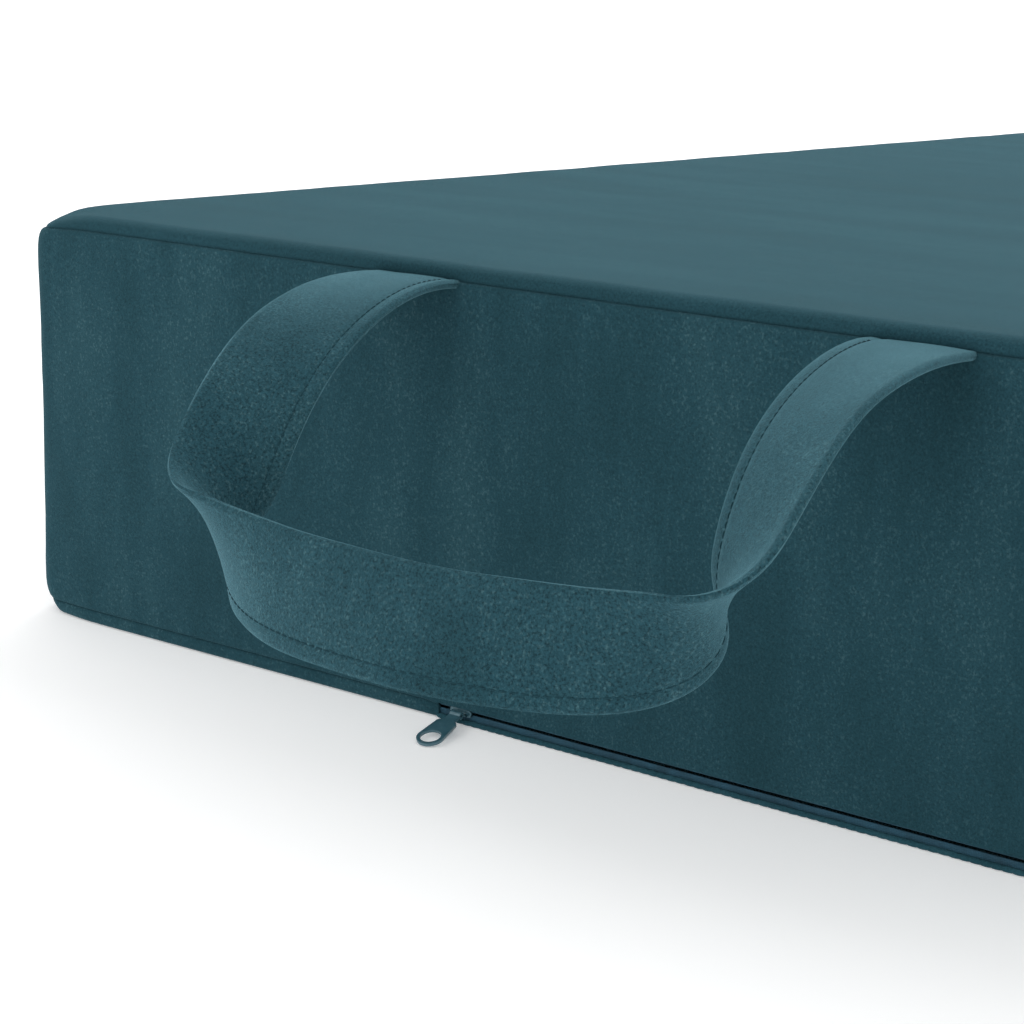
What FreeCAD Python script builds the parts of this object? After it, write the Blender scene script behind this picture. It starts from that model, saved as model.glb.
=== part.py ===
import FreeCAD, Part
import math
import os
import re

import Sketcher

# Incline wedge mat: a foam wedge in a sewn fabric cover with a zip and a carry handle.
# Millimetres. +Z is up, the floor is z = 0 and the origin is the middle of the footprint.
# X runs along the tall end, which faces -Y. The low end is at +Y.

DRIVING_SIZES = [
    # the block
    ("tall_height", 238),
    ("low_height", 60),
    ("mat_length", 1830),
    ("base_half", 415),
    ("flare", 18),
    ("corner_radius", 14),
    ("rim_radius", 10),
    ("foot_radius", 3),
    # the layers
    ("cover_thick", 1.6),
    ("cover_gap", 0.2),
    ("liner_thick", 0.6),
    ("comfort_thick", 30),
    ("foam_bevel", 16),
    # the seams
    ("seam_drop", 8),
    ("base_hem", 8),
    ("panel_wrap", 25),
    # the zip
    ("zip_left", -119),
    ("zip_right", 342),
    ("zip_level", 6.6),
    ("zip_window", 9.2),
    ("zip_margin", 4),
    ("tape_thick", 0.8),
    ("tape_top", 14),
    ("chain_gap", 1.6),
    ("coil_size", 2.3),
    ("stop_length", 2),
    # the slider and its pull tab
    ("slider_x", -109),
    ("slider_length", 13),
    ("slider_width", 4.6),
    ("slider_gap", 0.2),
    ("plate_thick", 1.4),
    ("post_thick", 1),
    ("post_length", 3),
    ("post_inset", 0.5),
    ("pivot_out", 3.4),
    ("pivot_radius", 0.9),
    ("pivot_span", 11),
    ("leg_thick", 1.6),
    ("eye_radius", 1.9),
    ("eye_clearance", 0.05),
    ("eye_width", 6.4),
    ("tab_length", 30),
    ("tab_width", 14.5),
    ("tab_neck", 12),
    ("tab_thick", 1.6),
    ("tab_hole_radius", 5.4),
    ("tab_droop", 10),
    # the carry handle
    ("handle_width", 50),
    ("handle_thick", 4),
    ("handle_half_span", 131),
    ("handle_reach", 195),
    ("handle_drop", 86),
    ("handle_clear", 2.6),
    ("core_width", 40),
    ("core_thick", 2),
    ("seam_tuck", 1),
    # how far the cutting shapes run past what they cut
    ("overrun", 20),
    ("beyond", 3000),
]

# The strap's route, from its left end to its middle: shares of the half span, reach and drop.
STRAP_ROUTE = [(1, 0, 0), (1, 0.15, -0.06), (0.97, 0.48, 0.01),
               (0.97, 0.72, 0.57), (0.96, 0.84, 0.98), (0.45, 1, 1)]
# How far the strap has turned from flat to upright at each of those points, in degrees.
STRAP_TURN = [0, 0, 17, 30, 68, 114]
STRAP_SECTIONS = 33
# The core stops this share of the route short of each end of the strap.
CORE_TRIM = 0.006
# Two heights or depths closer than this are the same, and a corner's edge rises more than the second.
NEAR = 4
TALLER = 20
# A cut takes away more than this, in cubic millimetres.
LEAST_CUT = 0.01

doc = FreeCAD.newDocument("InclineWedgeMat")
sheet = doc.addObject("Spreadsheet::Sheet", "Sizes")
for row, (alias, value) in enumerate(DRIVING_SIZES, start=1):
    sheet.set("A%d" % row, alias)
    sheet.set("B%d" % row, str(value))
    sheet.setAlias("B%d" % row, alias)
doc.recompute()
ALIASES = [alias for alias, value in DRIVING_SIZES]


def size(alias):
    return float(getattr(sheet, alias))


def use(text):
    """An expression with the sheet's name in front of each alias."""
    return re.sub(r"[a-z_]+", lambda word: "Sizes." + word[0] if word[0] in ALIASES else word[0], text)


def bind(obj, **expressions):
    for name, text in expressions.items():
        obj.setExpression(name, use(text))


def place(obj, x, y, z, turn="0"):
    """Bind an object's place, with a turn about X in degrees."""
    vector = "create(<<vector>>; %s; %s; %s)" % (use(x), use(y), use(z))
    rotation = "create(<<rotation>>; create(<<vector>>; 1; 0; 0); %s)" % use(turn)
    obj.setExpression("Placement", "create(<<placement>>; %s; %s)" % (vector, rotation))


# ---------------------------------------------------------------- sketched bodies


def new_sketch(body, name, role):
    """An empty sketch on one of the body's own origin planes."""
    sketch = body.newObject("Sketcher::SketchObject", name)
    plane = [feature for feature in body.Origin.OriginFeatures if feature.Role == role][0]
    sketch.AttachmentSupport = [(plane, "")]
    sketch.MapMode = "FlatFace"
    return sketch


def hold(sketch, kind, elements, label, text):
    """Add one dimension to a sketch and bind it to the sheet."""
    index = sketch.addConstraint(Sketcher.Constraint(kind, *elements, 1.0))
    sketch.renameConstraint(index, label)
    sketch.setExpression("Constraints." + label, use(text))


def polygon(body, name, role, corners):
    """A closed outline whose corners are pairs of expressions."""
    sketch = new_sketch(body, name, role)
    count = len(corners)
    turns = [2 * math.pi * i / count for i in range(count)]
    start = [FreeCAD.Vector(math.cos(turn), math.sin(turn), 0) for turn in turns]
    for i in range(count):
        sketch.addGeometry(Part.LineSegment(start[i], start[(i + 1) % count]), False)
    for i in range(count):
        sketch.addConstraint(Sketcher.Constraint("Coincident", i, 2, (i + 1) % count, 1))
    for i, (across, along) in enumerate(corners):
        hold(sketch, "DistanceX", (-1, 1, i, 1), "across%d" % i, across)
        hold(sketch, "DistanceY", (-1, 1, i, 1), "along%d" % i, along)
    return sketch


def circle(body, name, role, across, along, radius):
    sketch = new_sketch(body, name, role)
    sketch.addGeometry(Part.Circle(FreeCAD.Vector(0, 0, 0), FreeCAD.Vector(0, 0, 1), 1), False)
    hold(sketch, "DistanceX", (-1, 1, 0, 3), "across", across)
    hold(sketch, "DistanceY", (-1, 1, 0, 3), "along", along)
    hold(sketch, "Radius", (0,), "radius", radius)
    return sketch


def pad(body, sketch, length):
    """Thicken an outline equally both ways."""
    feature = body.newObject("PartDesign::Pad", sketch.Name + "Pad")
    feature.Profile = sketch
    feature.Midplane = True
    bind(feature, Length=length)


def pocket(body, sketch):
    """Cut an outline right through, both ways, and make sure that it cuts."""
    doc.recompute()
    before = body.Shape.Volume
    feature = body.newObject("PartDesign::Pocket", sketch.Name + "Pocket")
    feature.Profile = sketch
    feature.Midplane = True
    bind(feature, Length="beyond")
    doc.recompute()
    if body.Shape.Volume > before - LEAST_CUT:
        raise RuntimeError(sketch.Name + " cuts nothing")


def round_edges(body, name, radius, wanted):
    doc.recompute()
    base = body.Tip
    picked = ["Edge%d" % i for i, edge in enumerate(base.Shape.Edges, start=1) if wanted(edge)]
    feature = body.newObject("PartDesign::Fillet", name)
    feature.Base = (base, picked)
    bind(feature, Radius=radius)
    doc.recompute()


# ---------------------------------------------------------------- cutting blocks and booleans


def block(name, low, length, width, height, turn="0"):
    """A plain block from its low corner, given as expressions."""
    box = doc.addObject("Part::Box", name)
    bind(box, Length=length, Width=width, Height=height)
    place(box, low[0], low[1], low[2], turn)
    return box


def above_slope(name, depth):
    """Everything higher than a plane that runs a depth below the sloping top."""
    rise = "( tall_height - low_height ) / mat_length"
    level = "tall_height - ( %s ) + %s * overrun" % (depth, rise)
    turn = "-1 * atan( %s )" % rise
    low = ("-0.5 * beyond", "-0.5 * mat_length - overrun", level)
    return half_space(name, low, turn)


def half_space(name, low, turn="0"):
    """A block so large that only the faces at its low corner matter."""
    return block(name, low, "beyond", "beyond", "beyond", turn)


def boolean(kind, name, base, tool):
    result = doc.addObject("Part::" + kind, name)
    result.Base = base
    result.Tool = tool
    return result


def cut(name, base, tool):
    return boolean("Cut", name, base, tool)


def common(name, base, tool):
    return boolean("Common", name, base, tool)


def joined(name, pieces):
    result = doc.addObject("Part::MultiFuse", name)
    result.Shapes = pieces
    return result


def grouped(name, pieces):
    result = doc.addObject("Part::Compound", name)
    result.Links = pieces
    return result


# ---------------------------------------------------------------- the wedge and its layers


def ends(edge):
    return [vertex.Point for vertex in edge.Vertexes]


def is_corner(edge):
    """An upright edge between a side and an end."""
    low, high = sorted(ends(edge), key=lambda point: point.z)
    return abs(low.y - high.y) < NEAR and high.z - low.z > TALLER


def is_rim(edge):
    """An edge of the sloping top."""
    rise = (size("tall_height") - size("low_height")) / size("mat_length")
    drops = [size("tall_height") - rise * (p.y + size("mat_length") / 2) - p.z for p in ends(edge)]
    return all(abs(drop) < NEAR for drop in drops)


def is_foot(edge):
    return all(point.z < NEAR for point in ends(edge))


def wedge(name, inset, base, rounded_foot=False, bevelled=False):
    """The block, a distance inside the cover's outer face and with its foot at a height."""
    body = doc.addObject("PartDesign::Body", name)
    foot = "( base_half - ( %s ) - flare / tall_height * ( %s ) )" % (inset, base)
    head = "( base_half - flare - ( %s ) )" % inset
    front = [(foot, base), (head, "tall_height"), ("-1 * " + head, "tall_height"), ("-1 * " + foot, base)]
    pad(body, polygon(body, name + "Front", "XZ_Plane", front), "mat_length - 2 * ( %s )" % inset)

    half = "0.5 * mat_length + overrun"
    step = "( tall_height - low_height ) / mat_length * overrun"
    off = [("-1 * ( %s )" % half, "tall_height - ( %s ) + %s" % (inset, step)),
           (half, "low_height - ( %s ) - %s" % (inset, step)),
           (half, "tall_height + overrun"),
           ("-1 * ( %s )" % half, "tall_height + overrun")]
    pocket(body, polygon(body, name + "Slope", "YZ_Plane", off))

    round_edges(body, name + "Corners", "corner_radius - ( %s )" % inset, is_corner)
    round_edges(body, name + "Rim", "rim_radius - ( %s )" % inset, is_rim)
    if rounded_foot:
        round_edges(body, name + "Foot", "foot_radius - ( %s )" % inset, is_foot)
    if bevelled:
        reach = "( %s ) + foam_bevel + overrun" % inset
        nose = [("-0.5 * mat_length - overrun", "-1 * overrun"),
                ("-0.5 * mat_length + " + reach, "-1 * overrun"),
                ("-0.5 * mat_length - overrun", reach)]
        pocket(body, polygon(body, name + "Nose", "YZ_Plane", nose))
    return body


def filling():
    """Firm foam wedge, soft layer on its slope, and the thin bag around both."""
    foam_inset = "cover_thick + cover_gap + liner_thick"
    foam = wedge("FoamBlock", foam_inset, "cover_thick + liner_thick", bevelled=True)
    bag = wedge("LinerBlock", "cover_thick + cover_gap", "cover_thick", rounded_foot=True, bevelled=True)
    slab = above_slope("ComfortSlab", "comfort_thick + " + foam_inset)
    return [
        cut("foam_base_wedge", foam, slab),
        common("foam_comfort_layer", foam, slab),
        cut("inner_liner", bag, foam),
    ]


def cover():
    """The six fabric panels, cut from one skin along the seams."""
    outside = wedge("CoverOutside", "0", "0", rounded_foot=True)
    inside = wedge("CoverInside", "cover_thick", "cover_thick", rounded_foot=True)
    skin = cut("CoverSkin", outside, inside)

    top = above_slope("TopSide", "seam_drop")
    low = "-0.5 * beyond"
    foot = half_space("FootSide", (low, low, "base_hem - beyond"))
    tall_side = half_space("TallSide", (low, "-0.5 * mat_length + panel_wrap - beyond", low))
    low_side = half_space("LowSide", (low, "0.5 * mat_length - panel_wrap", low))
    left_half = half_space("LeftHalf", ("-1 * beyond", low, low))

    window_low = ("zip_left - zip_margin", "-0.5 * mat_length - overrun", "cover_thick")
    window_length = "zip_right - zip_left + 2 * zip_margin"
    window_depth = "overrun + foot_radius"
    window = block("ZipWindow", window_low, window_length, window_depth, "zip_window - cover_thick")

    walls = cut("Walls", cut("BelowTop", skin, top), foot)
    sides = cut("Sides", cut("BehindTall", walls, tall_side), low_side)
    return [
        common("top_panel", skin, top),
        cut("bottom_panel", common("FootWrap", skin, foot), window),
        cut("tall_end_panel", common("TallWrap", walls, tall_side), window),
        common("low_end_panel", walls, low_side),
        common("left_side_panel", sides, left_half),
        cut("right_side_panel", sides, left_half),
    ]


# ---------------------------------------------------------------- the zip

TAPE_FRONT = "-0.5 * mat_length + cover_thick"
CHAIN_FRONT = TAPE_FRONT + " + tape_thick"
UPPER_EDGE = "zip_level + 0.5 * chain_gap"
LOWER_EDGE = "zip_level - 0.5 * chain_gap"


def zip_tapes():
    """Two woven tapes: one hangs behind the tall end panel, one stands on the bottom panel."""
    length = "zip_right - zip_left + 2 * zip_margin"
    left = "zip_left - zip_margin"
    upper_height = "tape_top - ( %s )" % UPPER_EDGE
    lower_height = LOWER_EDGE + " - cover_thick"
    upper = block("zip_tape_upper", (left, TAPE_FRONT, UPPER_EDGE), length, "tape_thick", upper_height)
    lower = block("zip_tape_lower", (left, TAPE_FRONT, "cover_thick"), length, "tape_thick", lower_height)
    return [upper, lower]


def zip_chain():
    """The two coils behind the tapes, with the stops at their ends."""
    left = "zip_left + stop_length"
    length = "zip_right - zip_left - 2 * stop_length"
    low_row = LOWER_EDGE + " - coil_size"
    upper = block("zip_coil_upper", (left, CHAIN_FRONT, UPPER_EDGE), length, "coil_size", "coil_size")
    lower = block("zip_coil_lower", (left, CHAIN_FRONT, low_row), length, "coil_size", "coil_size")
    stops = []
    for name, low in (("UpperTopStop", UPPER_EDGE), ("LowerTopStop", low_row)):
        stops.append(block(name, ("zip_left", CHAIN_FRONT, low), "stop_length", "coil_size", "coil_size"))
    end = block("zip_bottom_stop", ("zip_right - stop_length", CHAIN_FRONT, low_row), "stop_length",
                "coil_size", "2 * coil_size + chain_gap")
    return [upper, lower, grouped("zip_top_stops", stops), end]


def zip_slider():
    """A plate each side of the chain, a post between them and a bridge that holds the tab."""
    left = "slider_x - 0.5 * slider_length"
    low = "zip_level - 0.5 * slider_width"
    front = "-0.5 * mat_length"
    back = CHAIN_FRONT + " + coil_size + slider_gap"
    plates = [block("FrontPlate", (left, front, low), "slider_length", "plate_thick", "slider_width"),
              block("BackPlate", (left, back, low), "slider_length", "plate_thick", "slider_width")]
    post_low = (left + " + post_inset", front, "zip_level - 0.5 * post_thick")
    post_depth = back + " - ( %s ) + 0.5 * plate_thick" % front
    post = block("Post", post_low, "post_length", post_depth, "post_thick")
    bar = doc.addObject("Part::Cylinder", "BridgeBar")
    bind(bar, Radius="pivot_radius", Height="pivot_span")
    bar.setExpression("Placement", "create(<<placement>>; create(<<vector>>; %s; %s; %s); "
                      "create(<<rotation>>; create(<<vector>>; 0; 1; 0); 90))"
                      % (use("slider_x - 0.5 * pivot_span"), use(front + " - pivot_out"), use("zip_level")))
    bar_ends = {"LeftLeg": "slider_x - 0.5 * pivot_span",
                "RightLeg": "slider_x + 0.5 * pivot_span - leg_thick"}
    leg_depth = "pivot_out + pivot_radius + 0.5 * plate_thick"
    legs = []
    for name, x in bar_ends.items():
        leg_low = (x, front + " - pivot_out - pivot_radius", "zip_level - pivot_radius")
        legs.append(block(name, leg_low, "leg_thick", leg_depth, "2 * pivot_radius"))
    return [joined("zip_slider_body", plates + [post, bar] + legs)]


def zip_tab():
    """The pull tab: a flat plate that widens to a round end with a hole, and a barrel eye."""
    body = doc.addObject("PartDesign::Body", "zip_pull_tab")
    centre = "tab_length - 0.5 * tab_width"
    plate = [("-0.5 * tab_neck", "-1.6 * eye_radius"), ("0.5 * tab_neck", "-1.6 * eye_radius"),
             ("0.5 * tab_width", "-1 * ( %s )" % centre), ("-0.5 * tab_width", "-1 * ( %s )" % centre)]
    shoulder = [("-0.5 * eye_width", "0"), ("0.5 * eye_width", "0"),
                ("0.5 * eye_width", "-2 * eye_radius"), ("-0.5 * eye_width", "-2 * eye_radius")]
    pad(body, polygon(body, "TabPlate", "XY_Plane", plate), "tab_thick")
    pad(body, polygon(body, "TabShoulder", "XY_Plane", shoulder), "tab_thick")
    pad(body, circle(body, "TabEnd", "XY_Plane", "0", "-1 * ( %s )" % centre, "0.5 * tab_width"), "tab_thick")
    pad(body, circle(body, "TabBarrel", "YZ_Plane", "0", "0", "eye_radius"), "eye_width")
    pocket(body, circle(body, "TabHole", "XY_Plane", "0", "-1 * ( %s )" % centre, "tab_hole_radius"))
    pocket(body, circle(body, "TabBore", "YZ_Plane", "0", "0", "pivot_radius + eye_clearance"))
    place(body, "slider_x", "-0.5 * mat_length - pivot_out", "zip_level", "tab_droop")
    return [body]


# ---------------------------------------------------------------- the carry handle


def clamped_curve(poles):
    """A smooth curve of degree 3 that starts and ends at its end poles."""
    inner = len(poles) - 4
    knots = [i / (inner + 1) for i in range(inner + 2)]
    curve = Part.BSplineCurve()
    curve.buildFromPolesMultsKnots(poles, [4] + [1] * inner + [4], knots, False, 3)
    return curve


def mirrored_list(half, flip):
    return half + [flip(value) for value in reversed(half)]


def strap_poles():
    """The strap leaves the seam level, droops, turns upright and crosses in front."""
    span, reach, drop = size("handle_half_span"), size("handle_reach"), size("handle_drop")
    left = [FreeCAD.Vector(-a * span, -b * reach, -c * drop) for a, b, c in STRAP_ROUTE]
    return mirrored_list(left, lambda pole: FreeCAD.Vector(-pole.x, pole.y, pole.z))


def strap_sections(trim):
    """Middle, width direction and thickness direction of the strap at even steps."""
    route = clamped_curve(strap_poles())
    turn = clamped_curve([FreeCAD.Vector(angle, 0, 0) for angle in mirrored_list(STRAP_TURN, float)])
    sections = []
    for i in range(STRAP_SECTIONS):
        at = trim + (1 - 2 * trim) * i / (STRAP_SECTIONS - 1)
        along = route.tangent(at)[0].normalize()
        outward = along.cross(FreeCAD.Vector(0, 0, 1)).normalize()
        upward = outward.cross(along)
        angle = math.radians(turn.value(at).x)
        across = outward * math.cos(angle) + upward * math.sin(angle)
        sections.append((route.value(at), across, along.cross(across)))
    return sections


def ribbon(width, thick, trim):
    """A flat ribbon along the strap's route: four long edges, ruled faces and two ends."""
    rails = [[], [], [], []]
    for middle, across, over in strap_sections(trim):
        side = across * (width / 2)
        face = over * (thick / 2)
        for rail, point in zip(rails, (-side - face, side - face, side + face, face - side)):
            rail.append(middle + point)
    edges = []
    for rail in rails:
        curve = Part.BSplineCurve()
        steps = [i / (STRAP_SECTIONS - 1) for i in range(STRAP_SECTIONS)]
        curve.interpolate(Points=rail, Parameters=steps)
        edges.append(curve.toShape())
    faces = [Part.makeRuledSurface(edges[i], edges[(i + 1) % 4]) for i in range(4)]
    for end in (0, -1):
        corners = [rail[end] for rail in rails]
        faces.append(Part.Face(Part.makePolygon(corners + corners[:1])))
    shell = Part.Shell(faces)
    shell.sewShape()
    return Part.Solid(shell)


def carry_handle():
    """One strap, a fabric tube around a flat webbing core, twisted a quarter turn each side."""
    core = ribbon(size("core_width"), size("core_thick"), CORE_TRIM)
    tube = ribbon(size("handle_width"), size("handle_thick"), 0).cut(core).Solids[0]
    pieces = []
    for name, shape in (("carry_handle", tube), ("handle_core", core)):
        piece = doc.addObject("Part::Feature", name)
        piece.Shape = shape
        place(piece, "0", "-0.5 * mat_length - handle_clear", "tall_height - seam_drop - seam_tuck")
        pieces.append(piece)
    return pieces


# ---------------------------------------------------------------- build, check and write

subparts = filling() + cover() + zip_tapes() + zip_chain() + zip_slider() + zip_tab() + carry_handle()
for subpart in subparts:
    subpart.Label = subpart.Name
doc.recompute()

for obj in doc.Objects:
    if "Invalid" in obj.State or "Error" in obj.State:
        raise RuntimeError("%s did not build: %s" % (obj.Name, obj.State))
for subpart in subparts:
    if subpart.Shape.isNull() or not subpart.Shape.isValid() or not subpart.Shape.Solids:
        raise RuntimeError(subpart.Label + " is not a valid solid")

os.makedirs("parts", exist_ok=True)
for subpart in subparts:
    subpart.Shape.exportStep("parts/%s.step" % subpart.Label)
    box = subpart.Shape.BoundBox
    print("%-20s %2d solid(s) %12.1f mm3  x %8.2f %8.2f  y %8.2f %8.2f  z %7.2f %7.2f" % (
        subpart.Label, len(subpart.Shape.Solids), subpart.Shape.Volume,
        box.XMin, box.XMax, box.YMin, box.YMax, box.ZMin, box.ZMax))
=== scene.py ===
import math

import bmesh
import bpy
import numpy as np
from mathutils import Matrix, Vector, kdtree, noise


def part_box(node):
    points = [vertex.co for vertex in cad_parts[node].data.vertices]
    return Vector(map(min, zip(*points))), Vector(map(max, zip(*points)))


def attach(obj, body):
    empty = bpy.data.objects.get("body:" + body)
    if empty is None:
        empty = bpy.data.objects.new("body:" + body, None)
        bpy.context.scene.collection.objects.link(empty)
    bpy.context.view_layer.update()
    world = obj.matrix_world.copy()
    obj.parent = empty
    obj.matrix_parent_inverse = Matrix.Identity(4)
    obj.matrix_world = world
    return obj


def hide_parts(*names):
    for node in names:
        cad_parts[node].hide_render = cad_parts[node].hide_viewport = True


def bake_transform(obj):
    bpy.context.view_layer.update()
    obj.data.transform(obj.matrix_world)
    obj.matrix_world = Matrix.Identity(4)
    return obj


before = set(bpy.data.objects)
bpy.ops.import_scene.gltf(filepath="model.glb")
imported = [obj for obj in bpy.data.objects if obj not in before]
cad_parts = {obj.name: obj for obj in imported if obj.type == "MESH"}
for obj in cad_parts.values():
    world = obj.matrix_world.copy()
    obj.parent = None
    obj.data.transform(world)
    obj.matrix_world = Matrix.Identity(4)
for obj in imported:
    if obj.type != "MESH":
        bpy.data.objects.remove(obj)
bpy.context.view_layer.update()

# Metres. The floor is z = 0, the tall end faces -Y and the middle of the footprint is the origin.

# ---------------------------------------------------------------- the mat's sizes

MM = 0.001
TALL_HEIGHT = 238 * MM
LOW_HEIGHT = 60 * MM
BASE_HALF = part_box("bottom_panel")[1].x
HALF_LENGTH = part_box("bottom_panel")[1].y
FLARE = 18 * MM
CORNER_RADIUS = 14 * MM
RIM_RADIUS = 10 * MM
FOOT_RADIUS = 3 * MM
SEAM_DROP = 8 * MM
BASE_HEM = 8 * MM
PANEL_WRAP = 25 * MM
CLOTH_THICK = 1.6 * MM
FACE_Y = -HALF_LENGTH

ZIP_LOW, ZIP_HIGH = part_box("zip_tape_upper")
ZIP_LEFT = ZIP_LOW.x
ZIP_RIGHT = ZIP_HIGH.x
ZIP_LEVEL = (ZIP_LOW.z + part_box("zip_tape_lower")[1].z) / 2
LIP_TOP = 1.6 * MM
HEM_LOW = 9.2 * MM

TINY = 1e-9

# Millimetres in from each edge of the block to the rows of the cloth's mesh, close together by the seams:
# EDGE_ROWS across it and up it, WRAP_ROWS along it.
EDGE_ROWS = [0, 0.8, 1.6, 2.4, 3.2, 4.5, 6, 7, 7.6, 8, 8.4, 8.8, 9.2, 10.5, 13, 16, 20, 24]
WRAP_ROWS = [0, 2, 4, 6.5, 9, 11.5, 14, 17, 20, 22.5, 24, 24.6, 25, 25.4, 26, 27.5, 31, 38]
MIDDLE_CELL = 8.5 * MM


# ---------------------------------------------------------------- helpers


def only(obj):
    """Make one object the only selected and the active one."""
    bpy.ops.object.select_all(action="DESELECT")
    obj.select_set(True)
    bpy.context.view_layer.objects.active = obj


def named(name):
    """The primitive that was just added, under its own name."""
    obj = bpy.context.object
    obj.name = name
    obj.data.name = name
    return obj


def place_in_mesh(obj):
    only(obj)
    bpy.ops.object.transform_apply(location=True, rotation=True, scale=True)


def edit(obj):
    only(obj)
    bpy.ops.object.mode_set(mode="EDIT")
    bpy.ops.mesh.select_all(action="DESELECT")
    return bmesh.from_edit_mesh(obj.data)


def leave():
    bpy.ops.object.mode_set(mode="OBJECT")


def pick(obj, kind, test):
    """In edit mode, select only the vertices, edges or faces that pass a test."""
    bpy.ops.mesh.select_mode(type={"verts": "VERT", "edges": "EDGE", "faces": "FACE"}[kind])
    bpy.ops.mesh.select_all(action="DESELECT")
    mesh = bmesh.from_edit_mesh(obj.data)
    for item in getattr(mesh, kind):
        item.select_set(bool(test(item)))
    mesh.select_flush_mode()
    bmesh.update_edit_mesh(obj.data)


def modify(obj, kind, **settings):
    """Add a modifier and apply it."""
    only(obj)
    modifier = obj.modifiers.new(kind.title(), kind)
    for key, value in settings.items():
        setattr(modifier, key, value)
    bpy.ops.object.modifier_apply(modifier=modifier.name)


def smooth(obj, angle=40):
    only(obj)
    bpy.ops.object.shade_smooth_by_angle(angle=math.radians(angle))


def points_of(obj):
    flat = np.empty(len(obj.data.vertices) * 3)
    obj.data.vertices.foreach_get("co", flat)
    return flat.reshape(-1, 3)


def set_points(obj, points):
    obj.data.vertices.foreach_set("co", points.ravel())
    obj.data.update()


def normals_of(obj):
    flat = np.empty(len(obj.data.vertices) * 3)
    obj.data.vertex_normals.foreach_get("vector", flat)
    return flat.reshape(-1, 3)


def duplicate(obj, name):
    """A copy of a piece with a mesh of its own."""
    only(obj)
    bpy.ops.object.duplicate(linked=False)
    return named(name)


def join(pieces, name):
    only(pieces[0])
    for piece in pieces:
        piece.select_set(True)
    bpy.ops.object.join()
    return named(name)


def run_of(edge, axis):
    """How far an edge runs along an axis."""
    return abs((edge.verts[0].co - edge.verts[1].co)[axis])


def cut_across(obj, axis, cuts, longer_than):
    """In edit mode, cut every edge that runs more than a length along an axis."""
    pick(obj, "edges", lambda edge: run_of(edge, axis) > longer_than)
    bpy.ops.mesh.subdivide(number_cuts=cuts)


def cut_cube(name, counts):
    """A unit cube cut into equal cells: each axis has a multiple of four of them."""
    bpy.ops.object.select_all(action="DESELECT")
    bpy.ops.mesh.primitive_cube_add(size=1, location=(0, 0, 0))
    obj = named(name)
    edit(obj)
    for axis, count in enumerate(counts):
        for parts in (4, count // 4):
            if parts > 1:
                cut_across(obj, axis, parts - 1, 0.01 * MM)
    leave()
    return obj


def to_fours(count):
    """The next whole number of cells that cut_cube can make."""
    return count + -count % 4


def bar(name, low, high):
    """A square-edged bar between two corners."""
    low, high = Vector(low), Vector(high)
    bpy.ops.object.select_all(action="DESELECT")
    bpy.ops.mesh.primitive_cube_add(size=1, location=(low + high) / 2, scale=high - low)
    obj = named(name)
    place_in_mesh(obj)
    return obj


def rod(name, radius, length, place, turn=(0, 0, 0), sides=32):
    """A round bar, upright until it is turned."""
    bpy.ops.object.select_all(action="DESELECT")
    bpy.ops.mesh.primitive_cylinder_add(vertices=sides, radius=radius, depth=length, location=place,
                                        rotation=turn)
    obj = named(name)
    place_in_mesh(obj)
    return obj


def in_a_row(obj, count, pitch):
    """Repeat a piece to the right."""
    modify(obj, "ARRAY", count=count, use_relative_offset=False, use_constant_offset=True,
           constant_offset_displace=(pitch, 0, 0))


def finish_piece(obj, body, slot, material, *nodes):
    """Give a finished piece its material and its body, and hide the CAD nodes that it stands for."""
    obj.data.materials.clear()
    obj.data.materials.append(material)
    if body:
        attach(obj, body)
    if nodes:
        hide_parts(*nodes)
    return obj


# ---------------------------------------------------------------- materials


def new_material(name):
    material = bpy.data.materials.new(name)
    material.use_nodes = True
    tree = material.node_tree
    shader = tree.nodes["Principled BSDF"]
    return material, tree, shader


def add_node(tree, kind, **settings):
    node = tree.nodes.new(kind)
    for key, value in settings.items():
        if key in node.inputs:
            node.inputs[key].default_value = value
        else:
            setattr(node, key, value)
    return node


def object_noise(tree, stretch, scale, detail=2, roughness=0.5):
    """Noise over the object's own coordinates, stretched along the axes."""
    place = add_node(tree, "ShaderNodeTexCoord")
    mapping = add_node(tree, "ShaderNodeMapping")
    mapping.inputs["Scale"].default_value = stretch
    tree.links.new(place.outputs["Object"], mapping.inputs["Vector"])
    grain = add_node(tree, "ShaderNodeTexNoise", Scale=scale, Detail=detail, Roughness=roughness)
    tree.links.new(mapping.outputs["Vector"], grain.inputs["Vector"])
    return grain.outputs["Fac"]


def ramp(tree, value, stops):
    """A colour ramp from a value: stops are pairs of place and colour."""
    node = add_node(tree, "ShaderNodeValToRGB")
    tree.links.new(value, node.inputs["Fac"])
    elements = node.color_ramp.elements
    while len(elements) < len(stops):
        elements.new(0.5)
    for element, (place, colour) in zip(elements, stops):
        element.position = place
        element.color = (*colour, 1)
    return node.outputs["Color"]


def grey(level):
    return (level, level, level)


def mix(tree, kind, amount, first, second):
    """Mix two colours; the amount is a number or a socket."""
    node = add_node(tree, "ShaderNodeMix", data_type="RGBA", blend_type=kind)
    for socket, value in (("Factor", amount), ("A", first), ("B", second)):
        # a colour Mix node has one Factor for numbers and an A and a B for colours
        index = {"Factor": 0, "A": 6, "B": 7}[socket]
        if isinstance(value, bpy.types.NodeSocket):
            tree.links.new(value, node.inputs[index])
        elif socket == "Factor":
            node.inputs[index].default_value = value
        else:
            node.inputs[index].default_value = (*value, 1)
    return node.outputs[2]


def bump(tree, shader, height, distance, strength=1.0):
    node = add_node(tree, "ShaderNodeBump", Strength=strength, Distance=distance)
    tree.links.new(height, node.inputs["Height"])
    tree.links.new(node.outputs["Normal"], shader.inputs["Normal"])


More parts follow.
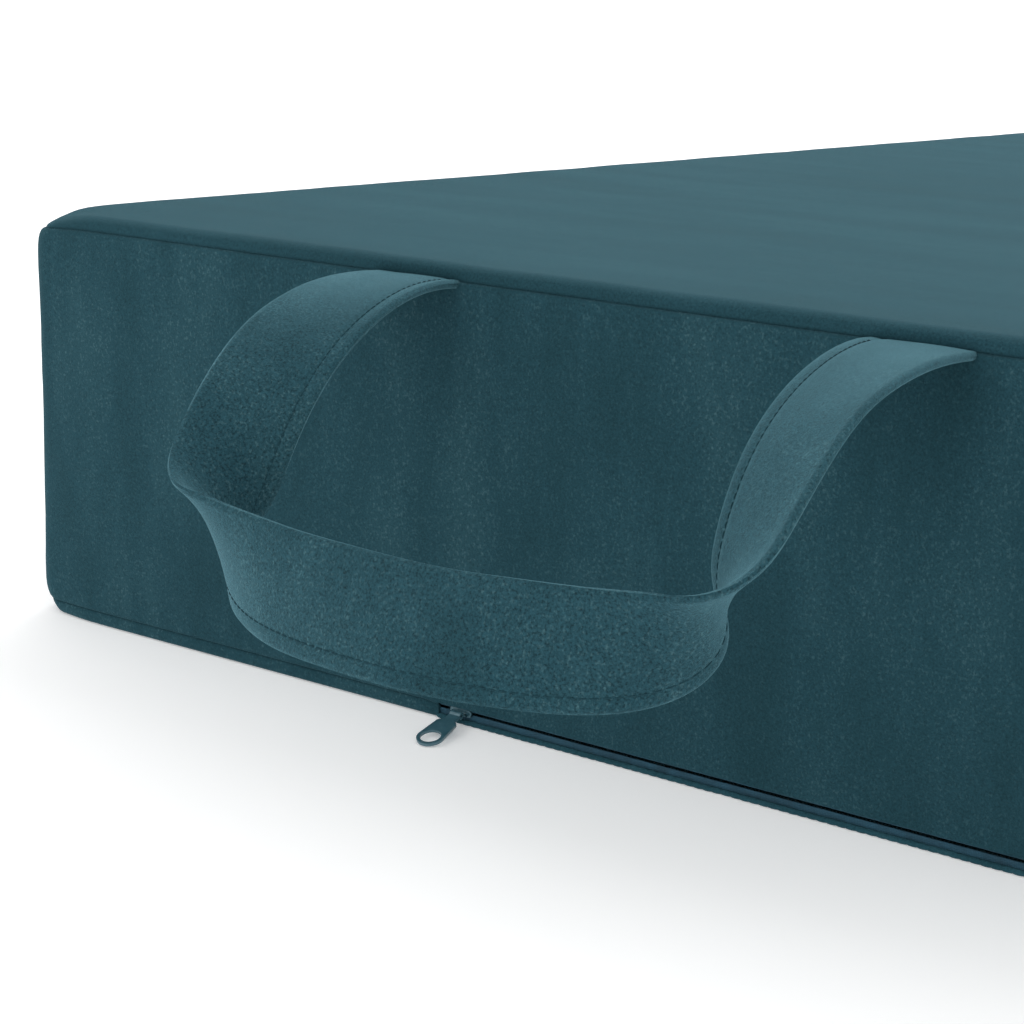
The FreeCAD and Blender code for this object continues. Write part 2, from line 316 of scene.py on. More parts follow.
VELVET_DARK = (0.0135, 0.0480, 0.0620)
VELVET_MID = (0.0165, 0.0560, 0.0730)
VELVET_LIGHT = (0.0230, 0.0690, 0.0870)
# the colour of the painted highlight on the velvet's pile tips
PILE_TIP_HIGHLIGHT = (0.0700, 0.1500, 0.1700)
SHEEN_COLOUR = (0.38, 0.80, 0.95)


def velvet(name, brush, lift=1.0, sheen=0.12, highlight_speckle=0.5, grain=0.5):
    """Short-pile velvet: brushed patches along one direction, a painted highlight speckle where pile tips
    catch light, a soft sheen.
    """
    material, tree, shader = new_material(name)
    dark, mid, light = (tuple(lift * c for c in colour) for colour in (VELVET_DARK, VELVET_MID, VELVET_LIGHT))
    patches = object_noise(tree, brush, 1.0, detail=5, roughness=0.62)
    cloth = ramp(tree, patches, [(0.32, dark), (0.5, mid), (0.72, light)])
    pile = object_noise(tree, (1, 1, 1), 900, detail=3, roughness=0.7)
    shade = ramp(tree, pile, [(0.3, grey(1 - 0.6 * grain)), (0.5, grey(1)), (0.75, grey(1 + 0.5 * grain))])
    cloth = mix(tree, "MULTIPLY", 1.0, cloth, shade)
    # painted highlight: lighter flecks where the pile tips catch light, fewer of them in the darker patches
    tips = object_noise(tree, (1, 1, 0.8), 760, detail=3)
    tip_highlight = ramp(tree, tips, [(0.55, grey(0)), (0.72, grey(highlight_speckle))])
    gathered = ramp(tree, patches, [(0.38, grey(0.25)), (0.62, grey(1.0))])
    tip_highlight = mix(tree, "MULTIPLY", 1.0, tip_highlight, gathered)
    cloth = mix(tree, "MIX", tip_highlight, cloth, PILE_TIP_HIGHLIGHT)
    tree.links.new(cloth, shader.inputs["Base Color"])
    rough = ramp(tree, patches, [(0.2, grey(0.82)), (0.8, grey(0.95))])
    tree.links.new(rough, shader.inputs["Roughness"])
    shader.inputs["Specular IOR Level"].default_value = 0.04
    shader.inputs["Sheen Weight"].default_value = sheen
    shader.inputs["Sheen Roughness"].default_value = 0.45
    shader.inputs["Sheen Tint"].default_value = (*SHEEN_COLOUR, 1)
    fuzz = object_noise(tree, (1, 1, 0.4), 3000, detail=2, roughness=0.6)
    bump(tree, shader, fuzz, 0.0005, 0.6)
    return material


def woven(name, first, second, turns, pitch):
    """Plain weave over the object's own coordinates: two sets of threads that cross."""
    material, tree, shader = new_material(name)
    place = add_node(tree, "ShaderNodeTexCoord")
    heights = []
    for turn in turns:
        mapping = add_node(tree, "ShaderNodeMapping")
        mapping.inputs["Rotation"].default_value = turn
        tree.links.new(place.outputs["Object"], mapping.inputs["Vector"])
        # the bands of a wave texture repeat every pi / 10 of its scaled coordinates
        wave = add_node(tree, "ShaderNodeTexWave", wave_type="BANDS", bands_direction="X",
                        Scale=math.pi / (10 * pitch), Distortion=0.4)
        tree.links.new(mapping.outputs["Vector"], wave.inputs["Vector"])
        heights.append(wave.outputs["Fac"])
    weave = mix(tree, "MULTIPLY", 1.0, heights[0], heights[1])
    wear = object_noise(tree, (1, 1, 1), 120, detail=4)
    colour = mix(tree, "MIX", weave, first, second)
    worn = ramp(tree, wear, [(0.3, grey(0.75)), (0.7, grey(1.2))])
    colour = mix(tree, "MULTIPLY", 1.0, colour, worn)
    tree.links.new(colour, shader.inputs["Base Color"])
    shader.inputs["Roughness"].default_value = 0.85
    bump(tree, shader, weave, 0.0003, 0.8)
    return material


def thread():
    """Twisted sewing thread, darker than the cloth."""
    material, tree, shader = new_material("sewing_thread")
    twist = object_noise(tree, (1, 1, 1), 2200, detail=2)
    colour = ramp(tree, twist, [(0.35, (0.008, 0.034, 0.046)), (0.65, (0.016, 0.056, 0.072))])
    tree.links.new(colour, shader.inputs["Base Color"])
    shader.inputs["Roughness"].default_value = 0.75
    shader.inputs["Specular IOR Level"].default_value = 0.1
    bump(tree, shader, twist, 0.0002, 0.6)
    return material


def painted_metal():
    """Cast zip metal under teal paint, rubbed a little lighter in places."""
    material, tree, shader = new_material("zip_paint")
    wear = object_noise(tree, (1, 1, 1), 260, detail=6, roughness=0.65)
    colour = ramp(tree, wear, [(0.35, (0.034, 0.100, 0.130)), (0.6, (0.046, 0.125, 0.158)),
                               (0.8, (0.10, 0.19, 0.22))])
    tree.links.new(colour, shader.inputs["Base Color"])
    rough = ramp(tree, wear, [(0.3, grey(0.30)), (0.8, grey(0.48))])
    tree.links.new(rough, shader.inputs["Roughness"])
    shader.inputs["Metallic"].default_value = 0.2
    shader.inputs["Coat Weight"].default_value = 0.5
    shader.inputs["Coat Roughness"].default_value = 0.25
    bump(tree, shader, wear, 0.0001, 0.3)
    return material


def nylon():
    material, tree, shader = new_material("coil_nylon")
    grain = object_noise(tree, (1, 1, 1), 700, detail=3)
    colour = ramp(tree, grain, [(0.3, (0.008, 0.030, 0.042)), (0.7, (0.016, 0.052, 0.068))])
    tree.links.new(colour, shader.inputs["Base Color"])
    shader.inputs["Roughness"].default_value = 0.4
    bump(tree, shader, grain, 0.0001, 0.3)
    return material


def foam(name, colour, cell):
    """Cut foam: open cells as small pits with painted shade in them, and a slow random change of tone."""
    material, tree, shader = new_material(name)
    place = add_node(tree, "ShaderNodeTexCoord")
    cells = add_node(tree, "ShaderNodeTexVoronoi", Scale=1 / cell)
    tree.links.new(place.outputs["Object"], cells.inputs["Vector"])
    # painted shade: the pits are 0.7 times darker, for the shade inside them
    dark = tuple(0.7 * c for c in colour)
    shaded_pores = ramp(tree, cells.outputs["Distance"], [(0.1, dark), (0.5, colour)])
    shade = object_noise(tree, (1, 1, 1), 9, detail=3)
    tint = ramp(tree, shade, [(0.3, grey(0.9)), (0.7, grey(1.05))])
    shaded_pores = mix(tree, "MULTIPLY", 1.0, shaded_pores, tint)
    tree.links.new(shaded_pores, shader.inputs["Base Color"])
    shader.inputs["Roughness"].default_value = 0.95
    bump(tree, shader, cells.outputs["Distance"], 0.0008, 0.8)
    return material


def floor_paint():
    material, tree, shader = new_material("studio_floor")
    tone = object_noise(tree, (1, 1, 1), 0.8, detail=2)
    colour = ramp(tree, tone, [(0.3, grey(0.93)), (0.7, grey(0.96))])
    tree.links.new(colour, shader.inputs["Base Color"])
    shader.inputs["Roughness"].default_value = 0.9
    shader.inputs["Emission Color"].default_value = (1, 1, 1, 1)
    shader.inputs["Emission Strength"].default_value = 0.2
    return material


# Copies of one velvet, with lift scaling each one's colour. The strip under the hem is painted 1.2 times
# lighter, as painted light for the shade there; the walls and the strap are a few hundredths darker than the
# top.
VELVET_TOP = velvet("velvet_top", (3, 16, 16), lift=1.0, sheen=0.16, highlight_speckle=0.25)
VELVET_STRIP_LIT = velvet("velvet_strip_lit", (30, 30, 30), lift=1.2, sheen=0.1, highlight_speckle=0.2)
VELVET_WALL = velvet("velvet_wall", (26, 26, 7), lift=0.96, highlight_speckle=0.55)
VELVET_STRAP = velvet("velvet_strap", (30, 30, 12), lift=0.95, sheen=0.42, highlight_speckle=0.7, grain=1.1)
STANDING = [(0, 0, 0), (0, math.pi / 2, 0)]
LYING = [(0, 0, 0), (0, 0, math.pi / 2)]
# the tape's colours are lightened to make up for the shade it sits in under the hem: painted light
WEAVE_TAPE = woven("tape_weave", (0.012, 0.062, 0.098), (0.028, 0.110, 0.165), STANDING, 0.8 * MM)
WEAVE_BAND = woven("webbing_weave", (0.03, 0.06, 0.07), (0.10, 0.16, 0.18), LYING, 1.5 * MM)
WEAVE_BAG = woven("liner_weave", (0.62, 0.62, 0.60), (0.80, 0.80, 0.78), LYING, 1.0 * MM)
THREAD = thread()
PAINT = painted_metal()
NYLON = nylon()
FIRM_FOAM = foam("firm_foam", (0.75, 0.72, 0.62), 1.6 * MM)
SOFT_FOAM = foam("soft_foam", (0.85, 0.83, 0.75), 2.4 * MM)


# ---------------------------------------------------------------- the block's shape


def slope_at(y):
    """Height of the sharp-edged top at a distance along the mat."""
    share = (y + HALF_LENGTH) / (2 * HALF_LENGTH)
    return TALL_HEIGHT - (TALL_HEIGHT - LOW_HEIGHT) * share


def half_width(z):
    """Half the block's width at a height: the walls lean in."""
    return BASE_HALF - FLARE * z / TALL_HEIGHT


def graded(half, rows):
    """Places from one end to the other, close together in the rows by each end."""
    ends = np.array(rows) * MM
    edge_cells = 2 * (len(ends) - 1)
    cells = to_fours(round(2 * (half - ends[-1]) / MIDDLE_CELL) + edge_cells) - edge_cells
    middle = np.linspace(-half + ends[-1], half - ends[-1], cells + 1)[1:-1]
    return np.concatenate([-half + ends, middle, half - ends[::-1]])


def rounded(points):
    """Round the corners in plan, the rim of the slope and the foot."""
    p = points.copy()
    half = np.stack([half_width(p[:, 2]), np.full(len(p), HALF_LENGTH)], axis=1)
    past = np.abs(p[:, :2]) - (half - CORNER_RADIUS)
    corner = (past > 0).all(axis=1)
    reach = np.linalg.norm(past, axis=1)
    shrink = np.where(corner, past.max(axis=1) / np.maximum(reach, TINY), 1)
    plan = np.where(corner[:, None], past * shrink[:, None], past)
    outward = np.where(corner[:, None], plan, 0)
    side = np.argmax(past, axis=1)
    flat = ~corner
    outward[flat, side[flat]] = 1
    outward /= np.linalg.norm(outward, axis=1)[:, None]
    inward = np.where(corner, CORNER_RADIUS - np.linalg.norm(plan, axis=1),
                      (CORNER_RADIUS - past).min(axis=1))
    signs = np.sign(p[:, :2])
    spot = half - CORNER_RADIUS + plan
    from_floor = p[:, 2].copy()
    from_top = slope_at(p[:, 1]) - from_floor
    for level, radius, way in ((from_top, RIM_RADIUS, -1), (from_floor, FOOT_RADIUS, 1)):
        near = (level < radius) & (inward < radius)
        from_side = radius - inward
        from_level = radius - level
        scale = np.maximum(from_side, from_level) / np.maximum(np.hypot(from_side, from_level), TINY)
        push = np.where(near, from_side * (1 - scale), 0)
        lift = np.where(near, from_level * (1 - scale), 0)
        spot = spot - outward * push[:, None]
        p[:, 2] += way * lift
    p[:, :2] = signs * spot
    return p


def block(name):
    """The whole wedge as one closed skin of quads, with rows that follow the seams."""
    across = graded(BASE_HALF, EDGE_ROWS)
    for wanted in (ZIP_LEFT, ZIP_RIGHT):
        across[np.argmin(np.abs(across - wanted))] = wanted
    along = graded(HALF_LENGTH, WRAP_ROWS)
    edge = np.array(EDGE_ROWS) * MM
    edge_cells = 2 * (len(edge) - 1)
    middle_cells = to_fours(round((TALL_HEIGHT - 2 * edge[-1]) / MIDDLE_CELL) + edge_cells) - edge_cells
    counts = (len(across) - 1, len(along) - 1, edge_cells + middle_cells)
    obj = cut_cube(name, counts)
    unit = points_of(obj) + 0.5
    column, place, row = (np.rint(unit[:, axis] * count).astype(int) for axis, count in enumerate(counts))
    y = along[place]
    top = slope_at(y)
    last = len(edge) - 1
    from_top = counts[2] - row
    low_row = edge[np.clip(row, 0, last)]
    high_row = top - edge[np.clip(from_top, 0, last)]
    share = (row - last) / middle_cells
    middle = edge[-1] * (1 - share) + (top - edge[-1]) * share
    z = np.where(row <= last, low_row, np.where(from_top <= last, high_row, middle))
    x = across[column] * half_width(z) / BASE_HALF
    set_points(obj, rounded(np.stack([x, y, z], axis=1)))
    return obj


# ---------------------------------------------------------------- the padded cover

PUFF_CAP = 3.5 * MM
SIM_VOXEL = 16 * MM
SIM_FRAMES = 20
SIM_NEIGHBOURS = 6

# How far the seams draw the cloth in, and how far that reaches.
RIM_SEAM_DEPTH = 2.4 * MM
ABOVE_RIM_SEAM = 2.2 * MM
BELOW_RIM_SEAM = 0.7 * MM
FOOT_SEAM = (1.6 * MM, 0.8 * MM)
UPRIGHT_SEAM = (1.5 * MM, 1.2 * MM)
HEM_ROLL = (0.9 * MM, 4 * MM)
FLAT_BY_SEAM = 14 * MM
WALL_SWELL = 1.1 * MM
WALL_RIPPLE = 0.35 * MM
WINDOW_DEPTH = 3 * MM

CORNER_REACH = 26 * MM
CORNER_PULL = 7 * MM
CORNER_DROOP = 5 * MM
CORNER_FADE = 9 * MM

# The folds at the zip: a fold's middle, its fall to the right, how far it stands out, its height and width.
FOLDS = (
    (-220 * MM, 27.5 * MM, 0.05, 0.9 * MM, 6 * MM, 120 * MM),
    (20 * MM, 17 * MM, 0.03, 0.7 * MM, 5 * MM, 110 * MM),
)


def seam_distance(points):
    """Distances from the rim seam, the foot seam and the upright seams: each is positive past the seam."""
    drop = slope_at(points[:, 1]) - points[:, 2]
    rim = SEAM_DROP - drop
    foot = BASE_HEM - points[:, 2]
    upright = np.abs(points[:, 1]) - (HALF_LENGTH - PANEL_WRAP)
    return rim, foot, upright


def pressed_out(cover):
    """How far the foam presses each part of the cover out, simulated on a coarser copy."""
    coarse = duplicate(cover, "pressed_cover")
    modify(coarse, "REMESH", mode="VOXEL", voxel_size=SIM_VOXEL)
    before = points_of(coarse)
    rim, foot, _ = seam_distance(before)
    held = coarse.vertex_groups.new(name="held")
    by_seams = (np.abs(rim) < SIM_VOXEL) | (foot > -SIM_VOXEL)
    held.add([int(i) for i in np.flatnonzero(by_seams)], 1.0, "REPLACE")
    cloth = coarse.modifiers.new("Cloth", "CLOTH")
    cloth.settings.quality = 4
    cloth.settings.mass = 0.4
    cloth.settings.tension_stiffness = 40
    cloth.settings.compression_stiffness = 40
    cloth.settings.shear_stiffness = 20
    cloth.settings.bending_stiffness = 4
    cloth.settings.use_pressure = True
    cloth.settings.uniform_pressure_force = 4
    cloth.settings.vertex_group_mass = "held"
    cloth.settings.effector_weights.gravity = 0
    cloth.collision_settings.use_collision = False
    cloth.point_cache.frame_end = SIM_FRAMES
    for step in range(1, SIM_FRAMES + 1):
        bpy.context.scene.frame_set(step)
    only(coarse)
    bpy.ops.object.modifier_apply(modifier=cloth.name)
    moved = points_of(coarse) - before
    bpy.context.scene.frame_set(1)

    tree = kdtree.KDTree(len(before))
    for i, point in enumerate(before):
        tree.insert(point, i)
    tree.balance()
    result = np.zeros((len(cover.data.vertices), 3))
    for i, point in enumerate(points_of(cover)):
        near = tree.find_n(point, SIM_NEIGHBOURS)
        weights = np.array([1 / (distance + SIM_VOXEL / 4) ** 2 for _, _, distance in near])
        result[i] = weights @ moved[[n for _, n, _ in near]] / weights.sum()
    bpy.data.objects.remove(coarse)
    length = np.linalg.norm(result, axis=1)[:, None]
    return result * PUFF_CAP * np.tanh(length / PUFF_CAP) / np.maximum(length, TINY)


def ripple(points, scale, seed):
    """Smooth unevenness from -1 to 1: the seed picks which."""
    offset = Vector((seed, seed * 0.7, -seed))
    return np.array([noise.noise(Vector(p) * scale + offset) for p in points])


def dip(distance, depth, reach):
    """How far a seam draws the cloth in, at a distance from it."""
    return depth * np.exp(-np.abs(distance) / reach)


def sewn(points, normals):
    """Draw the seams in, roll the cloth over them and let the walls ripple."""
    rim, foot, upright = seam_distance(points)
    in_zip = (points[:, 0] > ZIP_LEFT) & (points[:, 0] < ZIP_RIGHT) & (points[:, 1] < FACE_Y + PANEL_WRAP)
    under = points[:, 2] < 0.5 * MM
    depth = dip(rim, RIM_SEAM_DEPTH, np.where(rim > 0, ABOVE_RIM_SEAM, BELOW_RIM_SEAM))
    depth += np.where(in_zip, 0, dip(foot, *FOOT_SEAM))
    walls = (rim < -MM) & (foot < -MM)
    depth += np.where(walls, dip(upright, *UPRIGHT_SEAM), 0)
    depth -= np.where(in_zip & (points[:, 2] > HEM_LOW - MM), dip(points[:, 2] - HEM_LOW, *HEM_ROLL), 0)

    wave = WALL_SWELL * ripple(points * np.array([1, 1, 0.45]), 14, 3.1)
    wave += WALL_RIPPLE * ripple(points, 45, 8.2)
    fade = 1 - np.exp(-np.minimum(np.abs(rim), np.maximum(-foot, 0)) / FLAT_BY_SEAM)
    depth -= wave * fade * ~under
    return points - normals * depth[:, None]


def soft_corners(points):
    """The cloth is slack over the foam's corners, so they draw in at the rim and at the foot."""
    gap_x = half_width(points[:, 2]) - np.abs(points[:, 0])
    gap_y = HALF_LENGTH - np.abs(points[:, 1])
    near = np.exp(-((gap_x ** 2 + gap_y ** 2) / CORNER_REACH ** 2))
    drop = np.maximum(slope_at(points[:, 1]) - points[:, 2], 0)
    height = np.minimum(slope_at(points[:, 1]), TALL_HEIGHT) / TALL_HEIGHT
    # the low end's rim has less loose cloth than the tall end's
    at_rim = np.exp(-(drop / CORNER_FADE) ** 1.5) * (0.4 + 0.6 * height)
    at_foot = np.exp(-(points[:, 2] / CORNER_FADE) ** 1.5)
    moved = points.copy()
    pull = CORNER_PULL * near * np.maximum(at_rim, at_foot)
    moved[:, 0] -= np.sign(points[:, 0]) * pull
    moved[:, 1] -= np.sign(points[:, 1]) * 0.5 * pull
    moved[:, 2] -= CORNER_DROOP * near * at_rim
    return moved


def pulled_folds(points):
    """Two shallow folds that the zip pulls into the foot of the tall end."""
    on_face = (points[:, 1] < FACE_Y + 10 * MM) & (points[:, 2] > 10 * MM)
    push = np.zeros(len(points))
    for middle, level, fall, out, high, wide in FOLDS:
        aside = points[:, 0] - middle
        above = points[:, 2] - level + fall * aside
        push += out * np.exp(-(above / high) ** 2) * np.exp(-(aside / wide) ** 2)
    moved = points.copy()
    moved[:, 1] -= np.where(on_face, push, 0)
    return moved


def build_cover():
    """One skin, pressed out by the foam, sewn in at the seams and cut along them into six panels."""
    cover = block("cover_skin")
    rest = points_of(cover)
    normals = normals_of(cover)
    points = rest + pressed_out(cover)
    points = soft_corners(pulled_folds(sewn(points, normals)))
    points[:, 2] = np.maximum(points[:, 2], 0)
    set_points(cover, points)

    middles = np.array([np.mean(rest[list(face.vertices)], axis=0) for face in cover.data.polygons])
    rim, foot, upright = seam_distance(middles)
    walls = (rim <= 0) & (foot <= 0)
    cuts = {
        "cover_top": rim > 0,
        "cover_bottom": foot > 0,
        "cover_tall_end": walls & (upright > 0) & (middles[:, 1] < 0),
        "cover_low_end": walls & (upright > 0) & (middles[:, 1] > 0),
        "cover_left_side": walls & (upright <= 0) & (middles[:, 0] < 0),
        "cover_right_side": walls & (upright <= 0) & (middles[:, 0] > 0),
    }
    # the opening for the zip
    window = (middles[:, 0] > ZIP_LEFT) & (middles[:, 0] < ZIP_RIGHT)
    window &= (middles[:, 2] > LIP_TOP) & (middles[:, 2] < HEM_LOW)
    window &= np.abs(middles[:, 1] - FACE_Y) < WINDOW_DEPTH
    panels = {}
    for name, wanted in cuts.items():
        panel = duplicate(cover, name)
        keep = wanted & ~window
        edit(panel)
        pick(panel, "faces", lambda face: not keep[face.index])
        bpy.ops.mesh.delete(type="FACE")
        leave()
        modify(panel, "SOLIDIFY", thickness=CLOTH_THICK, offset=-1, use_rim=True)
        smooth(panel, 60)
        panels[name] = panel
    bpy.data.objects.remove(cover)
    return panels


COVER_NODES = {
    "cover_top": ("top_panel", VELVET_TOP),
    "cover_bottom": ("bottom_panel", VELVET_WALL),
    "cover_tall_end": ("tall_end_panel", VELVET_WALL),
    "cover_low_end": ("low_end_panel", VELVET_WALL),
    "cover_left_side": ("left_side_panel", VELVET_WALL),
    "cover_right_side": ("right_side_panel", VELVET_WALL),
}

for panel_name, panel in build_cover().items():
    node, cloth = COVER_NODES[panel_name]
    finish_piece(panel, "root", "velvet", cloth, node)


# ---------------------------------------------------------------- the strap

STRAP_HALF_SPAN = 131 * MM
STRAP_REACH = 195 * MM
STRAP_DROP = 86 * MM
STRAP_START = Vector((0, FACE_Y - 2.6 * MM, 229 * MM))
STRAP_ROUTE = [(1, 0, 0), (1, 0.15, -0.06), (0.97, 0.48, 0.01),
               (0.97, 0.72, 0.57), (0.96, 0.84, 0.98), (0.45, 1, 1)]
STRAP_TURN = [0, 0, 17, 30, 68, 114]
STRAP_WIDTH = 50 * MM
STRAP_THICK = 4 * MM
STRAP_COLUMNS = 36
STRAP_PUFF = 0.25 * MM
STRAP_WAVE = 0.35 * MM
STRAP_SWAY = 0.5 * MM
EDGE_ROUND = 1.2 * MM
EDGE_REACH = 1.8 * MM
LAYER_GROOVE = 1.4 * MM
STITCH_GROOVE = 0.45 * MM
STITCH_REACH = 1.3 * MM
CORE_WIDTH = 40 * MM
CORE_THICK = 1.4 * MM
CORE_COLUMNS = 12
CORE_SHORT = 4 * MM
TUCK = 6 * MM
STITCH_IN = 7 * MM
STITCH_LENGTH = 3.0 * MM
STITCH_PITCH = 4.2 * MM
STITCH_RISE = 0.35 * MM
THREAD_RADIUS = 0.32 * MM
THREAD_SUNK = 0.30 * MM
BAND_CELL = 2.2 * MM


def clamped_value(poles, at):
    """A point on a smooth curve of degree 3 that starts and ends at its end poles."""
    spans = len(poles) - 3
    knots = [0] * 3 + [i / spans for i in range(spans + 1)] + [1] * 3
    k = min(int(at * spans), spans - 1) + 3
    work = [np.array(poles[j + k - 3], float) for j in range(4)]
    for r in range(1, 4):
        for j in range(3, r - 1, -1):
            low = knots[j + k - 3]
            share = (at - low) / (knots[j + 1 + k - r] - low)
            work[j] = (1 - share) * work[j - 1] + share * work[j]
    return work[3]


def strap_sections(steps=320):
    """Middle, width and thickness directions of the strap, and the length up to each."""
    left = [np.array([-a * STRAP_HALF_SPAN, -b * STRAP_REACH, -c * STRAP_DROP]) for a, b, c in STRAP_ROUTE]
    poles = left + [pole * np.array([-1, 1, 1]) for pole in reversed(left)]
    turns = [[angle] for angle in STRAP_TURN + STRAP_TURN[::-1]]
    ats = np.linspace(0, 1, steps + 1)
    middles = np.array([clamped_value(poles, at) for at in ats]) + np.array(STRAP_START)
    tangents = np.gradient(middles, axis=0)
    tangents /= np.linalg.norm(tangents, axis=1)[:, None]
    outward = np.cross(tangents, (0, 0, 1))
    outward /= np.linalg.norm(outward, axis=1)[:, None]
    upward = np.cross(outward, tangents)
    angles = np.radians([clamped_value(turns, at)[0] for at in ats])[:, None]
    across = outward * np.cos(angles) + upward * np.sin(angles)
    over = np.cross(tangents, across)
    lengths = np.concatenate([[0], np.cumsum(np.linalg.norm(np.diff(middles, axis=0), axis=1))])
    return lengths, middles, tangents, across, over


LENGTHS, MIDDLES, TANGENTS, ACROSS, OVER = strap_sections()
STRAP_LENGTH = LENGTHS[-1]


def laid(points):
    """Carry flat strap coordinates (across, along, over) onto the strap's route."""
    along = points[:, 1]
    inside = np.clip(along, 0, STRAP_LENGTH)
    lay = [np.stack([np.interp(inside, LENGTHS, table[:, i]) for i in range(3)], axis=1)
           for table in (MIDDLES, TANGENTS, ACROSS, OVER)]
    middle, tangent, across, over = lay
    rest = (along - inside)[:, None]
    return middle + tangent * rest + across * points[:, :1] + over * points[:, 2:]


def lay_on_route(obj, points):
    """Carry a flat piece onto the route, which mirrors it, and turn its faces outwards again."""
    set_points(obj, laid(points))
    edit(obj)
    bpy.ops.mesh.select_all(action="SELECT")
    bpy.ops.mesh.flip_normals()
    leave()


def strap_profile(across, over):
    """Two layers: folded at one edge, meeting in a stitched edge at the other."""
    half = STRAP_WIDTH / 2
    from_stitch = across + half - STITCH_IN
    from_fold = half - across
    thin = STITCH_GROOVE * np.exp(-(from_stitch / STITCH_REACH) ** 2)
    edge = np.minimum(from_fold, across + half)
    round_off = EDGE_ROUND * np.clip(1 - edge / EDGE_REACH, 0, 1) ** 2
    puff = STRAP_PUFF * np.sin(np.pi * np.clip((across + half) / STRAP_WIDTH, 0, 1))
    side = np.sign(over)
    return over + side * (puff - thin - round_off) * (np.abs(over) > 0.5 * MM)


def flat_band(name, width, thick, start, end, columns):
    """A flat bar of many small cells, across the strap in X and along it in Y."""
    obj = cut_cube(name, (columns, to_fours(round((end - start) / BAND_CELL)), 4))
    points = (points_of(obj) + np.array([0, 0.5, 0])) * np.array([width, end - start, thick])
    points[:, 1] += start
    set_points(obj, points)
    return obj


def strap_grooved(points):
    """Press the seam between the two layers in, along the stitched edge."""
    at_edge = np.abs(points[:, 0] + STRAP_WIDTH / 2) < 0.01 * MM
    between = np.abs(points[:, 2]) < 0.1 * MM
    points[:, 0] += np.where(at_edge & between, LAYER_GROOVE, 0)
    return points


def build_strap():
    band = flat_band("strap_cloth", STRAP_WIDTH, STRAP_THICK, -TUCK, STRAP_LENGTH + TUCK, STRAP_COLUMNS)
    points = strap_grooved(points_of(band))
    points[:, 2] = strap_profile(points[:, 0], points[:, 2])
    points[:, 2] += STRAP_WAVE * ripple(points * np.array([1, 0.5, 0]), 60, 1.7)
    points[:, 0] += STRAP_SWAY * ripple(points * np.array([0, 1, 0]), 25, 5.3)
    lay_on_route(band, points)
    smooth(band, 50)
    return band


def build_core():
    end = STRAP_LENGTH - CORE_SHORT
    core = flat_band("strap_core", CORE_WIDTH, CORE_THICK, CORE_SHORT, end, CORE_COLUMNS)
    lay_on_route(core, points_of(core))
    smooth(core, 50)
    return core


def build_stitches():
    """One stitch is a short thread that dips into the cloth at both ends, copied along both faces."""
    stitch = rod("stitch", THREAD_RADIUS, STITCH_LENGTH, (0, 0, 0), (math.pi / 2, 0, 0), sides=8)
    edit(stitch)
    cut_across(stitch, 1, 3, MM)
    leave()
    one = points_of(stitch)
    one[:, 2] += STITCH_RISE * (np.cos(one[:, 1] / STITCH_LENGTH * math.pi) - 0.5)
    one[:, 2] += STRAP_THICK / 2 - THREAD_SUNK
    count = int((STRAP_LENGTH - 2 * STITCH_LENGTH) / STITCH_PITCH)
    copies = []
    for side in (1, -1):
        for i in range(count):
            place = (STITCH_IN - STRAP_WIDTH / 2, STITCH_LENGTH + i * STITCH_PITCH, 0)
            copy = stitch.copy()
            copy.data = stitch.data.copy()
            bpy.context.collection.objects.link(copy)
            set_points(copy, one * (side, 1, side) + place)
            copies.append(copy)
    bpy.data.objects.remove(stitch)
    row = join(copies, "strap_stitches")
    lay_on_route(row, points_of(row))
    smooth(row, 60)
    return row


strap_pieces = [
    (build_strap(), VELVET_STRAP, "strap_velvet", ["carry_handle"]),
    (build_core(), WEAVE_BAND, "webbing", ["handle_core"]),
    (build_stitches(), THREAD, "strap_velvet", []),
]
for piece, cloth, slot, nodes in strap_pieces:
    finish_piece(piece, None, slot, cloth, *nodes)
    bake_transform(piece)


# ---------------------------------------------------------------- the zip

SLIDER_LOW, SLIDER_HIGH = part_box("zip_slider_body")
SLIDER_X = (SLIDER_LOW.x + SLIDER_HIGH.x) / 2
PLATE_THICK = 1.4 * MM
PLATE_TAPER = 0.82
PLATE_CORNER = 1.5 * MM
POST_THICK = 1.0 * MM
POST_START = 0.5 * MM
POST_END = 3.5 * MM
WIRE_TURN = 1.6 * MM
WIRE_ROOT = 0.5 * MM
PIVOT_OUT = 3.4 * MM
PIVOT_RADIUS = 0.9 * MM
PIVOT_HALF = 5.5 * MM
TAB_LENGTH = 30 * MM
TAB_WIDTH = 14.5 * MM
TAB_NECK = 12 * MM
TAB_THICK = 1.6 * MM
TAB_HOLE = 5.4 * MM
TAB_DROOP = math.radians(10)
SHOULDER_SQUASH = 0.35
SHOULDER_FROM_EYE = 1.6
SHOULDER_REACH = 2.2
EYE_RADIUS = 1.9 * MM
EYE_HALF = 3.2 * MM
EYE_PLAY = 0.05 * MM
PAINT_EDGE = 0.34 * MM
TOOTH_PITCH = 1.9 * MM
COIL_THREAD = 0.26 * MM
FILLER_RADIUS = 0.45 * MM
TAPE_CELLS = ((0, 4 * MM), (2, MM))
TAPE_WAVE = 0.12 * MM
PUCKER_PITCH = 5 * MM
PUCKER_SIZE = (4.2 * MM, 1.3 * MM, 1.5 * MM)
PUCKER_LEVEL = 1.55 * MM
PUCKER_SWAY = 0.25 * MM


def combine(obj, tool, operation):
    modify(obj, "BOOLEAN", object=tool, operation=operation, solver="EXACT")
    bpy.data.objects.remove(tool)


def bevelled(obj, width, angle=35):
    modify(obj, "BEVEL", width=width, segments=3, limit_method="ANGLE", angle_limit=math.radians(angle),
           use_clamp_overlap=True)
    smooth(obj, 35)


